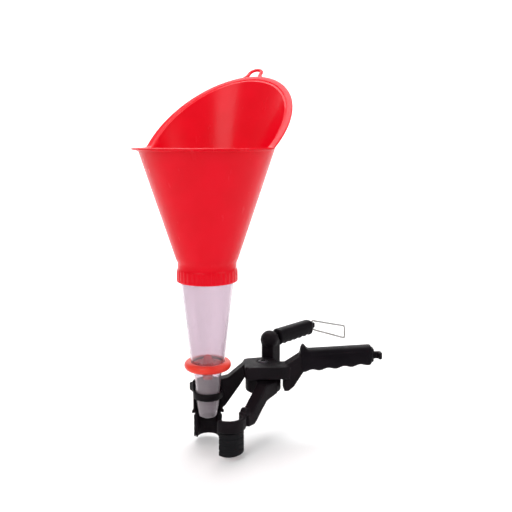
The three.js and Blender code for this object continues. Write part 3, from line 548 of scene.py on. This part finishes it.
def makeLoop(slope, rise):
    # the hanging loop: a flat rounded strand swept along an arch in the plane of the hood's rim, two
    # flared legs and a half circle of x = tip - w + w cos angle, y = w sin angle
    h = head
    azimuth = math.radians(h["hoodAzimuth"])
    peak = h["mouthRadius"] / (1 - slope * rise)
    out = np.array([math.cos(azimuth), math.sin(azimuth), rise])
    out /= np.linalg.norm(out)
    side = np.array([-math.sin(azimuth), math.cos(azimuth), 0])
    normal = np.cross(out, side)
    base = np.array([peak * math.cos(azimuth), peak * math.sin(azimuth), h["mouthZ"] + peak * rise])
    w, tip = loop["halfWidth"], h["lipWidth"] + loop["length"] - loop["strand"] / 2
    bend = np.linspace(-math.pi / 2, math.pi / 2, 33)
    straight = np.linspace(loop["start"], tip - w, 9)[:-1]
    x = np.concatenate([straight, tip - w + w * np.cos(bend), straight[::-1]])
    flare = 1 + loop["flare"] * np.exp(-((straight - loop["start"]) / loop["start"]) ** 2)
    y = np.concatenate([-w * flare, w * np.sin(bend), w * flare[::-1]])
    path = base + x[:, None] * out + y[:, None] * side - normal * (loop["thickness"] / 2)
    a = np.linspace(0, tau, 24, endpoint=False)
    section = np.stack([loop["thickness"] / 2 * np.sign(np.sin(a)) * np.abs(np.sin(a)) ** 0.75,
                        loop["strand"] / 2 * np.sign(np.cos(a)) * np.abs(np.cos(a)) ** 0.75], -1)
    return sweptShell(path, np.broadcast_to(normal, path.shape), section)


makeFunnelHead()
print("funnel head made")


# clear spout, valve and nozzle
spout = {
    "topRadius": 28.2, "bottomRadius": 18.2, "wall": 1.8, "taperTopZ": 144, "taperBottomZ": 58.3,
    "threadRadius": 29.5, "threadPitch": 4.6, "threads": 2,
}
valve = {
    "z": 54, "ringRadius": 25.1, "halfHeight": 4.3, "upperBore": 18.6, "lowerBore": 17.1, "plate": 2.6,
    "portRadius": 4.1, "portCircle": 10.2, "ports": 3, "stemRadius": 1.9, "stemGap": 0.3, "domeRadius": 5.6,
    "domeHeight": 8.5, "seatRadius": 16.5, "seatThickness": 1.3, "bossRadius": 5.4, "bossLength": 14,
}
nozzle = {
    "tip": (9.9, -2), "waist": (12.4, 14), "root": (13.8, 36), "top": (15.3, 46), "wall": 1.5,
    "flangeRadius": 16.8, "flangeThickness": 1.5,
}
gasket = {"bore": 26.7, "radius": 29.4}


def makeSpoutTube():
    # a turned profile: a straight foot, a taper, and thread lands above it, all one wall thick
    low, high = (corner[2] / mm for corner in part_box("spout_tube"))
    s = spout
    inner = s["topRadius"] - s["wall"]
    bottom = s["bottomRadius"] - s["wall"]
    corners = [(s["bottomRadius"], low, 0.5), (s["bottomRadius"], s["taperBottomZ"], 1.0),
               (s["topRadius"], s["taperTopZ"], 3)]
    for k in range(s["threads"]):
        z = s["taperTopZ"] + 3 + k * s["threadPitch"]
        corners += [(s["topRadius"], z, 0.3), (s["threadRadius"], z + 0.6, 0.3),
                    (s["threadRadius"], z + 1.2, 0.3), (s["topRadius"], z + 1.8, 0.3)]
    corners += [(s["topRadius"], high, 0.5), (inner, high, 0.5), (inner, s["taperTopZ"], 3),
                (bottom, s["taperBottomZ"], 1.0), (bottom, low, 0.5)]
    piece = putMesh("spoutTube", [turnedShell(rounded(corners), 160)])
    return finishPiece(piece, "clearSpout", "spout", "clear_plastic", "spout_tube")


def portCutter(offset):
    # upright rods, spaced evenly on the port circle, that cut the ports
    v = valve
    low, high = v["z"] - 20, v["z"] + 20
    shells = []
    for k in range(v["ports"]):
        a = offset + k * tau / v["ports"]
        centre = (v["portCircle"] * math.cos(a), v["portCircle"] * math.sin(a))
        profile = [(0, low), (v["portRadius"], low), (v["portRadius"], high), (0, high)]
        shells.append(turnedShell(profile, 40, False, centre))
    return putMesh("portCutter", shells)


def makeValveRing():
    # a turned ring with a half-ellipse outside, and inside it a thin plate with the ports cut through
    v = valve
    half = v["plate"] / 2
    mid = (v["ringRadius"] + v["lowerBore"]) / 2
    reach = v["ringRadius"] - mid
    a = np.linspace(-math.pi / 2, math.pi / 2, 22)
    bulge = np.stack([mid + reach * np.cos(a), v["z"] + v["halfHeight"] * np.sin(a)], -1)
    bore = v["stemRadius"] + v["stemGap"]
    bottom = rounded([(bore, v["z"] - half, 0), (v["lowerBore"], v["z"] - half, 0),
                      (v["lowerBore"], v["z"] - v["halfHeight"] * 0.8, 0.5)])
    top = rounded([(v["upperBore"], v["z"] + v["halfHeight"] * 0.94, 0.5), (v["upperBore"], v["z"] + half, 0),
                   (bore, v["z"] + half, 0)])
    piece = putMesh("valveRing", [turnedShell(np.vstack([bottom, bulge, top]), 144)])
    cutWith(piece, portCutter(math.pi / v["ports"]))
    shadeByAngle(piece, 35)
    return finishPiece(piece, "ringPlastic", "valve", "orange_plastic", "valve_ring")


def makeValveSeat():
    # a turned disc with a boss below it that holds the stem, and the ports cut through
    v = valve
    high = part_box("valve_seat")[1][2] / mm
    low = high - v["bossLength"]
    bore = v["stemRadius"] + v["stemGap"]
    corners = [(0, low, 0), (v["bossRadius"], low, 1.2), (v["bossRadius"], high - v["seatThickness"], 0.8),
               (v["seatRadius"], high - v["seatThickness"], 0.3), (v["seatRadius"], high, 0.3),
               (bore, high, 0), (bore, low + 2, 0), (0, low + 2, 0)]
    piece = putMesh("valveSeat", [turnedShell(rounded(corners), 96, False)])
    cutWith(piece, portCutter(0))
    shadeByAngle(piece, 35)
    return finishPiece(piece, "redPlastic", "spout", "red_plastic", "valve_seat")


def makeValveStem():
    # a turned stem under a dome of radius x cos angle, height x sin angle
    v = valve
    low, high = (corner[2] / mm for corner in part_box("valve_stem"))
    under = high - v["domeHeight"] - 1
    a = np.linspace(0, math.pi / 2, 16)
    dome = np.stack([v["domeRadius"] * np.cos(a), under + 1 + v["domeHeight"] * np.sin(a)], -1)
    foot = rounded([(0, low, 0), (v["stemRadius"], low, 0.4), (v["stemRadius"], under, 0),
                    (v["domeRadius"], under, 0.4)])
    profile = np.vstack([foot, dome])
    profile[-1, 0] = 0
    piece = putMesh("valveStem", [turnedShell(profile, 64, False)])
    return finishPiece(piece, "redPlastic", "spout", "red_plastic", "valve_stem")


def makeSeal(name, node, radius):
    # an O-ring: a circle of the CAD seal's half height, turned round the spout
    low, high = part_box(node)
    z = (low[2] + high[2]) / 2 / mm
    tube = (high[2] - low[2]) / 2 / mm
    a = np.linspace(0, tau, 16, endpoint=False)
    profile = np.stack([radius + tube * np.cos(a), z + tube * np.sin(a)], -1)
    piece = putMesh(name, [turnedShell(profile, 96)])
    return finishPiece(piece, "blackRubber", "spout", "black_rubber", node)


def makeGasket():
    low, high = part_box("head_gasket")
    z0, z1 = low[2] / mm, high[2] / mm
    corners = [(gasket["bore"], z0, 0.2), (gasket["radius"], z0, 0.2), (gasket["radius"], z1, 0.2),
               (gasket["bore"], z1, 0.2)]
    piece = putMesh("headGasket", [turnedShell(rounded(corners), 96)])
    return finishPiece(piece, "blackRubber", "spout", "black_rubber", "head_gasket")


def makeNozzle():
    # a turned profile that narrows in two steps, one wall thick, with a flange at its top
    n = nozzle
    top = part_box("nozzle")[1][2] / mm
    (tipR, tipZ), (waistR, waistZ), (rootR, rootZ), (topR, topZ) = n["tip"], n["waist"], n["root"], n["top"]
    w = n["wall"]
    under = top - n["flangeThickness"]
    corners = [(tipR - 1, tipZ, 0.4), (tipR, tipZ + 1.5, 0.8), (waistR - 0.5, waistZ - 3, 2.5),
               (rootR, rootZ, 6), (topR, topZ, 2), (topR, under, 0.4), (n["flangeRadius"], under, 0.3),
               (n["flangeRadius"], top, 0.3), (topR - w, top, 0.3), (topR - w, topZ, 2),
               (rootR - w, rootZ, 6), (waistR - w - 0.5, waistZ - 3, 2.5), (tipR - w - 0.6, tipZ, 0.4)]
    piece = putMesh("nozzleTube", [turnedShell(rounded(corners, 7), 128)])
    return finishPiece(piece, "clearNozzle", "spout", "clear_plastic", "nozzle")


makeSpoutTube()
makeValveRing()
makeValveSeat()
makeValveStem()
makeSeal("tubeSeal", "tube_seal", spout["bottomRadius"] - spout["wall"] / 2)
makeSeal("seatSeal", "seat_seal", nozzle["top"][0] - nozzle["wall"] / 2)
makeGasket()
makeNozzle()
print("spout and valve made")


# levers: the CAD solids fused on a fine voxel grid, then eased so that every edge is moulded round
lever = {"voxel": 0.85, "passes": 8, "factor": 0.5}


def easedCopy(name, node, body):
    # the CAD node's own surface, rebuilt from voxels and then averaged with its neighbours a few times
    mesh = nodes[node].data.copy()
    mesh.name = name
    piece = bpy.data.objects.new(name, mesh)
    bpy.context.scene.collection.objects.link(piece)
    bm = bmesh.new()
    bm.from_mesh(mesh)
    bmesh.ops.remove_doubles(bm, verts=bm.verts, dist=1e-6)
    bm.to_mesh(mesh)
    bm.free()
    remesh = piece.modifiers.new("fuse", "REMESH")
    remesh.mode = "VOXEL"
    remesh.voxel_size = lever["voxel"] * mm
    ease = piece.modifiers.new("ease", "SMOOTH")
    ease.iterations = lever["passes"]
    ease.factor = lever["factor"]
    applyModifiers(piece)
    shadeByAngle(piece, 180)
    return finishPiece(piece, "blackNylon", body, "black_nylon", node)


easedCopy("holderLever", "holder_lever", "holder")
easedCopy("clampLever", "clamp_lever", "clamp")
print("levers made")


# rubber pads on the split plug
pad = {"radius": 15.2, "thickness": 1.8, "ribs": 4, "ribDepth": 0.8, "splitGap": 0.4, "leadIn": 0.9}


def makePad(name, node, side, centre, turn, body):
    # half a ribbed sleeve: the outer radius is the pad's radius less a groove that repeats with z,
    # less a lead-in at the foot; that profile is turned through half a circle and its ends are closed
    low, high = (corner[2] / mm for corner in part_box(node))
    inner = pad["radius"] - pad["thickness"]
    z = np.linspace(low, high, 24 * pad["ribs"])
    phase = (z - low) / (high - low) * pad["ribs"]
    groove = np.clip(np.abs(((phase + 0.5) % 1) - 0.5) * 5.5, 0, 1) ** 0.6
    lead = np.clip((z - low) / 1.6, 0, 1) ** 0.5
    outer = pad["radius"] - pad["ribDepth"] * (1 - groove) - pad["leadIn"] * (1 - lead)
    profile = np.vstack([np.stack([outer, z], -1), [[inner, high]], [[inner, low]]])
    reach = math.asin(pad["splitGap"] / pad["radius"])
    theta = np.linspace(reach, math.pi - reach, 72) * side + turn
    r, height = profile[:, :1], profile[:, 1:]
    x, y = centre[0] + r * np.cos(theta), centre[1] + r * np.sin(theta)
    grid = np.stack([x, y, height + 0 * theta], -1)
    rows, cols = grid.shape[:2]
    faces = list(gridQuads(rows, cols, True, False))
    faces.append([k * cols for k in range(rows)])
    faces.append([k * cols + cols - 1 for k in range(rows)])
    piece = putMesh(name, [(grid, faces)], 40)
    return finishPiece(piece, "blackRubber", body, "black_rubber", node)


# pivot and plug places come from the squeeze joint and the clamp's own geometry
squeeze = next(j for j in frame["joints"] if j["name"] == "handle_squeeze")
pivotX, pivotY = squeeze["pos_m"][0] / mm, squeeze["pos_m"][1] / mm
openAngle = math.radians(squeeze["range_deg"][1])
plugX = pivotX - pivotX * math.cos(openAngle) + pivotY * math.sin(openAngle)
plugY = pivotY - pivotX * math.sin(openAngle) - pivotY * math.cos(openAngle)
makePad("holderPad", "holder_plug_pad", 1, (0, 0), 0, "holder")
makePad("clampPad", "clamp_plug_pad", -1, (plugX, plugY), openAngle, "clamp")
print("plug pads made at", round(plugX, 1), round(plugY, 1))


# grips
frontGrip = {
    "startX": 100.5, "startY": -3, "length": 77, "turn": -3.7, "topZ": 69, "riseToEnd": 4, "height": 25,
    "heightAtEnd": 21, "width": 17, "guardHeight": 5.2, "fingers": 4, "fingerDepth": 1.9, "squareness": 3.4,
    "crease": 1.1, "from": -1.2,
}
rearGrip = {
    "startX": 77.5, "startY": 36, "length": 57, "turn": 38.3, "topZ": 80, "riseToEnd": 1.5, "height": 18,
    "heightAtEnd": 17, "width": 15, "guardHeight": 0, "fingers": 6, "fingerDepth": 1.1, "squareness": 3.0,
    "crease": 0.35, "from": 1.3,
}
gripEnds = {"near": 2.2, "far": 3.2, "nearSize": 0.72, "farSize": 0.45, "rings": 110}


def makeGrip(name, node, g, body):
    # a superellipse section carried along the handle: width x sign(cos) |cos| ^ power across and
    # height x sign(sin) |sin| ^ power upwards, shrunk at both ends, hollowed below by a cosine for each
    # finger, creased along one side, and raised into a thumb guard near its start
    first, last = g["from"], g["length"] - gripEnds["far"]
    start = np.linspace(0, math.pi / 2, 8)[:-1]
    finish = np.linspace(0, math.pi / 2, 10)[1:]
    u = np.concatenate([first + gripEnds["near"] * (1 - np.cos(start)),
                        np.linspace(first + gripEnds["near"], last, gripEnds["rings"]),
                        last + gripEnds["far"] * np.sin(finish)])
    scale = np.concatenate([gripEnds["nearSize"] + (1 - gripEnds["nearSize"]) * np.sin(start),
                            np.ones(gripEnds["rings"]),
                            gripEnds["farSize"] + (1 - gripEnds["farSize"]) * np.cos(finish)])
    share = u / g["length"]
    height = g["height"] + (g["heightAtEnd"] - g["height"]) * share
    top = g["topZ"] + g["riseToEnd"] * share
    a = np.linspace(0, tau, 72, endpoint=False)
    power = 2 / g["squareness"]
    secY = np.sign(np.cos(a)) * np.abs(np.cos(a)) ** power
    secZ = np.sign(np.sin(a)) * np.abs(np.sin(a)) ** power
    hollow = 0.5 - 0.5 * np.cos(tau * g["fingers"] * np.clip((u - 3) / (g["length"] - 8), 0, 1))
    below = np.clip(np.cos(a + math.pi / 2 + 0.35), 0, 1) ** 1.2
    crease = np.exp(-((np.sin(a) - 0.28) / 0.15) ** 2) * (np.cos(a) < 0)
    along = np.clip((u - 8) / 8, 0, 1) * np.clip((g["length"] - 5 - u) / 8, 0, 1)
    shrink = g["fingerDepth"] * hollow[:, None] * below[None, :]
    dent = g["crease"] * crease[None, :] * along[:, None]
    guard = g["guardHeight"] * np.exp(-((u - 2.2) / 3.2) ** 2)[:, None] * np.clip(secZ, 0, 1)[None, :] ** 2
    y = scale[:, None] * (g["width"] / 2 - dent) * secY[None, :]
    z = scale[:, None] * (height[:, None] / 2 - shrink) * secZ[None, :] + guard
    turn = math.radians(g["turn"])
    x = u[:, None] + 0 * a
    grid = np.stack([g["startX"] + x * math.cos(turn) - y * math.sin(turn),
                     g["startY"] + x * math.sin(turn) + y * math.cos(turn),
                     (top - height / 2)[:, None] + z], -1)
    rows, cols = grid.shape[:2]
    faces = list(gridQuads(rows, cols, False, True))
    faces.append(list(range(cols))[::-1])
    faces.append(list(range((rows - 1) * cols, rows * cols)))
    piece = putMesh(name, [(grid, faces)], 50)
    return finishPiece(piece, "softGrip", body, "soft_grip", node)


makeGrip("frontGrip", "front_grip", frontGrip, "holder")
makeGrip("rearGrip", "rear_grip", rearGrip, "clamp")
print("grips made")


# wire bail
bail = {"wire": 1.05, "reach": 50, "spacing": 10.6, "spread": 2.2, "drop": 16, "turn": 27, "corner": 2.6}


def makeBail():
    # a round wire swept along a smooth curve through the corners of an open loop, given as (out, up)
    # from the hinge; the loop stands upright and droops by a fixed share of its reach
    b = bail
    swing = next(j for j in frame["joints"] if j["name"] == "bail_swing")
    hx, hy, hz = (value / mm for value in swing["pos_m"])
    half, c, reach, drop = b["spacing"] / 2, b["corner"], b["reach"], b["drop"]
    far = half + b["spread"]

    def leg(u, side):
        return (u, side * (half + b["spread"] / reach * u) - drop / reach * u)

    def corner(side):
        return [leg(reach - c, side), (reach - 0.6, side * (far - 0.8) - drop),
                (reach, side * (far - c) - drop)]

    upper = [(0, 1.2), (0, 3), (0.3, half - 0.8), (1.6, half - 0.2), leg(5, 1), leg(16, 1), leg(30, 1)]
    lower = [leg(30, -1), leg(16, -1), leg(5, -1), (1.6, -half), (0.3, 0.8 - half), (0, -3), (0, -1.2)]
    route = smoothPath(upper + corner(1) + [(reach, -drop)] + corner(-1)[::-1] + lower, 8)
    turn = math.radians(b["turn"])
    out, rise = route[:, 0], route[:, 1]
    path = np.stack([hx + out * math.cos(turn), hy + out * math.sin(turn), hz + rise], -1)
    normal = np.broadcast_to(np.array([-math.sin(turn), math.cos(turn), 0.0]), path.shape)
    piece = putMesh("wireBail", [sweptShell(path, normal, circleSection(b["wire"], 18))])
    return finishPiece(piece, "zincSteel", "bail", "zinc_steel", "wire_bail")


makeBail()
print("wire bail made")


# pivot hardware
pivotSet = {
    "boltRadius": 3, "headRadius": 6.2, "headHeight": 3.4, "threadPitch": 1.0, "threadLength": 9,
    "threadDepth": 0.45, "socketRadius": 2.9, "socketDepth": 2.2, "washerRadius": 6.4, "washerBore": 3.3,
    "bushBore": 3.15, "nutRadius": 5.8, "nutBore": 3.05, "springRadius": 9.4, "springWire": 0.9,
    "springTurns": 3.5, "coilHeight": 8.7,
}


def makeBolt():
    # a turned bolt: a zigzag of thread crests and roots, a plain shank, a round head with a hexagon socket
    p = pivotSet
    low, high = (corner[2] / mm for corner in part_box("pivot_bolt"))
    under = high - p["headHeight"]
    shank, pitch, headRadius = p["boltRadius"], p["threadPitch"], p["headRadius"]
    corners = [(0, low, 0), (shank - 0.7, low, 0), (shank, low + 0.8, 0.2)]
    for z in np.arange(low + 1.2, low + p["threadLength"], pitch):
        corners += [(shank, z, 0), (shank - p["threadDepth"], z + pitch / 2, 0)]
    corners += [(shank, low + p["threadLength"] + pitch, 0), (shank, under, 0.2), (headRadius, under, 0.3),
                (headRadius, high - 1.5, 1.2), (headRadius - 2, high, 1.6), (0, high, 0)]
    piece = putMesh("pivotBolt", [turnedShell(rounded(corners), 72, False, (pivotX, pivotY))])
    profile = [(0, high - p["socketDepth"]), (p["socketRadius"], high - p["socketDepth"]),
               (p["socketRadius"], high + 2), (0, high + 2)]
    cutWith(piece, putMesh("socketCutter", [turnedShell(profile, 6, False, (pivotX, pivotY))]))
    shadeByAngle(piece, 30)
    return finishPiece(piece, "blackSteel", "holder", "black_steel", "pivot_bolt")


def makeWasher(name, node):
    low, high = (corner[2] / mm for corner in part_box(node))
    p = pivotSet
    corners = [(p["washerBore"], low, 0.15), (p["washerRadius"], low, 0.2), (p["washerRadius"], high, 0.2),
               (p["washerBore"], high, 0.15)]
    piece = putMesh(name, [turnedShell(rounded(corners), 64, True, (pivotX, pivotY))])
    return finishPiece(piece, "zincSteel", "holder", "zinc_steel", node)


def makeBush():
    low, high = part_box("pivot_bush")
    outer, bore = (high[0] - low[0]) / 2 / mm, pivotSet["bushBore"]
    z0, z1 = low[2] / mm, high[2] / mm
    corners = [(bore, z0, 0.2), (outer, z0, 0.3), (outer, z1, 0.3), (bore, z1, 0.2)]
    piece = putMesh("pivotBush", [turnedShell(rounded(corners), 64, True, (pivotX, pivotY))])
    return finishPiece(piece, "zincSteel", "clamp", "zinc_steel", "pivot_bush")


def makeNut():
    # a hexagon of radius flat / cos(angle within each sixth), its corners trimmed by a cone above and below
    low, high = (corner[2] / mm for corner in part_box("pivot_nut"))
    theta = np.linspace(0, tau, 96, endpoint=False)
    flat = pivotSet["nutRadius"] * math.cos(math.pi / 6)
    hexagon = flat / np.cos((theta + math.pi / 6) % (math.pi / 3) - math.pi / 6)
    bore, beyond = pivotSet["nutBore"], 9
    trims = ((bore + 0.25, low), (flat - 0.2, low), (flat + 0.25, low + 0.25), (beyond, low + 0.9),
             (beyond, high - 0.9), (flat + 0.25, high - 0.25), (flat - 0.2, high), (bore + 0.25, high),
             (bore, high - 0.3), (bore, low + 0.3))
    rows = []
    for r, z in trims:
        radius = np.minimum(hexagon, r)
        rows.append(np.stack([pivotX + radius * np.cos(theta), pivotY + radius * np.sin(theta),
                              np.full_like(theta, z)], -1))
    piece = putMesh("pivotNut", [(np.stack(rows), gridQuads(len(rows), 96, True, True))], 25)
    return finishPiece(piece, "zincSteel", "holder", "zinc_steel", "pivot_nut")


def makeSpring():
    # a wire swept along a helix, (radius cos angle, radius sin angle, height x share of the turns), and
    # then up a straight tang into the plate
    p = pivotSet
    low, high = (corner[2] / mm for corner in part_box("torsion_spring"))
    bottom = low + p["springWire"]
    coilTop = bottom + p["coilHeight"]
    t = np.linspace(0, 1, 220)
    a = tau * p["springTurns"] * (t - 1)
    coil = np.stack([pivotX + p["springRadius"] * np.cos(a), pivotY + p["springRadius"] * np.sin(a),
                     bottom + p["coilHeight"] * t], -1)
    tang = smoothPath([coil[-1] + (0, 0.5, 0.6), (pivotX + p["springRadius"], pivotY + 0.2, coilTop + 2),
                       (pivotX + p["springRadius"], pivotY, high - 0.5)], 8)
    path = np.vstack([coil, tang])
    radial = path - np.array([pivotX, pivotY, 0])
    radial[:, 2] = 0
    radial /= np.linalg.norm(radial, axis=1)[:, None]
    piece = putMesh("torsionSpring", [sweptShell(path, radial, circleSection(p["springWire"] - 0.05, 14))])
    return finishPiece(piece, "zincSteel", "holder", "zinc_steel", "torsion_spring")


makeBolt()
makeWasher("plateWasher", "plate_washer")
makeWasher("nutWasher", "nut_washer")
makeBush()
makeNut()
makeSpring()
print("pivot hardware made")


# stage, light and camera
stage = {
    "floorZ": -0.0305, "front": -3.0, "back": 1.6, "wallHeight": 2.2, "bend": 0.6, "width": 4.5,
    "darkPaper": (0.88, 0.88, 0.885), "lightPaper": (0.93, 0.93, 0.93), "roughness": 0.8, "worldLight": 0.55,
}
camera = {"place": (-0.012, -0.72, 0.291), "target": (0.052, 0.0, 0.2407), "lens": 48.0, "shift": -0.128}
# each light: name, place, what it faces, size in metres, watts
lights = [
    ("keyLight", (-0.9, -1.3, 1.5), (0.0, 0.0, 0.2), 0.9, 13.0),
    ("fillLight", (1.5, -0.9, 0.9), (0.05, 0.0, 0.15), 0.9, 6.0),
    ("topLight", (0.1, 1.0, 1.9), (0.0, 0.6, 0.0), 1.4, 22.0),
    ("backdropLight", (0.0, 0.35, 1.7), (0.0, 1.6, 0.5), 1.4, 18.0),
]


def makeStage():
    # one sheet of paper: a flat floor, a quarter-circle bend and an upright wall, straight across X
    s = stage
    a = np.linspace(0, math.pi / 2, 24)
    y = np.concatenate([[s["front"]], s["back"] - s["bend"] + s["bend"] * np.sin(a), [s["back"]]])
    z = np.concatenate([[0.0], s["bend"] * (1 - np.cos(a)), [s["wallHeight"]]]) + s["floorZ"]
    x = np.array([-s["width"] / 2, s["width"] / 2])
    grid = np.stack([x[None, :] + 0 * y[:, None], y[:, None] + 0 * x, z[:, None] + 0 * x], -1) / mm
    floor = putMesh("studioFloor", [(grid, gridQuads(len(y), 2, False, False))], 60)
    material, tree, shader, place = startMaterial("palePaper")
    paper = noise(tree, place, 900.0, 4.0, 0.6)
    tree.links.new(mixColour(tree, paper, s["darkPaper"], s["lightPaper"]), shader.inputs["Base Color"])
    shader.inputs["Roughness"].default_value = s["roughness"]
    floor.data.materials.append(material)


def aim(thing, target):
    # turns a light or the camera so that it looks at the target
    direction = thing.location - Vector(target)
    thing.rotation_euler = direction.to_track_quat("Z", "Y").to_euler()


def makeLights():
    for name, place, target, size, power in lights:
        data = bpy.data.lights.new(name, "AREA")
        data.size = size
        data.energy = power
        lamp = bpy.data.objects.new(name, data)
        lamp.location = place
        aim(lamp, target)
        bpy.context.scene.collection.objects.link(lamp)
    world = bpy.data.worlds.new("studioWorld")
    world.use_nodes = True
    background = world.node_tree.nodes["Background"]
    background.inputs["Color"].default_value = (1.0, 1.0, 1.0, 1.0)
    background.inputs["Strength"].default_value = stage["worldLight"]
    bpy.context.scene.world = world
    bpy.context.scene.view_settings.view_transform = "Standard"


def makeCamera():
    data = bpy.data.cameras.new("mainCamera")
    data.lens = camera["lens"]
    data.sensor_width = 36.0
    data.shift_y = camera["shift"]
    data.clip_end = 20.0
    eye = bpy.data.objects.new("mainCamera", data)
    eye.location = camera["place"]
    aim(eye, camera["target"])
    bpy.context.scene.collection.objects.link(eye)
    bpy.context.scene.camera = eye


makeStage()
makeLights()
makeCamera()
print("stage, lights and camera made")
